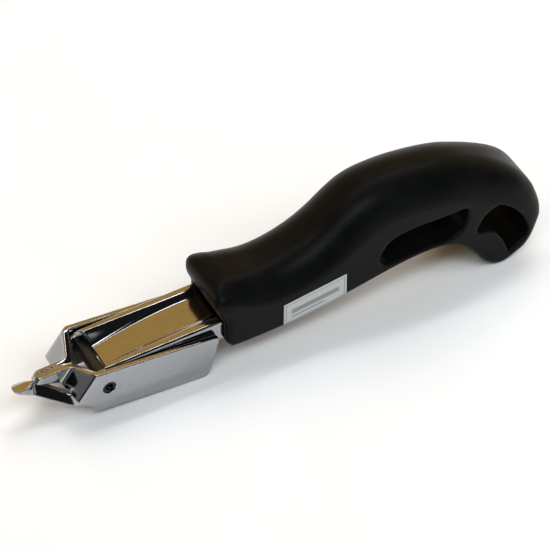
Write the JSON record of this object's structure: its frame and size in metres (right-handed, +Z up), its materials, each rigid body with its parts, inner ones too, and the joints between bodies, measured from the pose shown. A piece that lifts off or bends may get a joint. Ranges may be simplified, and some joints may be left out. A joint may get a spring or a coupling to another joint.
{
  "type": "heavy-duty staple remover",
  "caption": "Hand staple remover with a folded steel foot and nose hinged on a pressed steel lever with a lower jaw, and a moulded grip ending in a hook",
  "frame": {"origin": "centre of the overall box on the surface that the tool rests on, under the rear corners of the foot and the hook of the grip", "axes": "+X from the jaw tip to the hook end of the grip, +Y to the tool's right, +Z up; the tool is symmetric about Y = 0 apart from the label and the slot of the spring pin"},
  "size_m": [0.1998, 0.029, 0.0524],
  "materials": {
    "chromed_steel": "bright chrome plate",
    "black_oxide_steel": "black oxide, oiled",
    "black_plastic": "satin moulded black",
    "label_vinyl": "satin light grey film, blank"
  },
  "bodies": {
    "handle": {"grip": "black_plastic", "lever_jaw": "chromed_steel", "label_plate": "label_vinyl"},
    "foot": {"foot_jaw": "chromed_steel", "hinge_spring_pin": "black_oxide_steel"}
  },
  "joints": [
    {"name": "foot_hinge", "type": "hinge", "parent": "handle", "child": "foot", "pos_m": [-0.07008, 0, 0.01276], "axis": [0, 1, 0], "range_deg": [0, 40]}
  ]
}
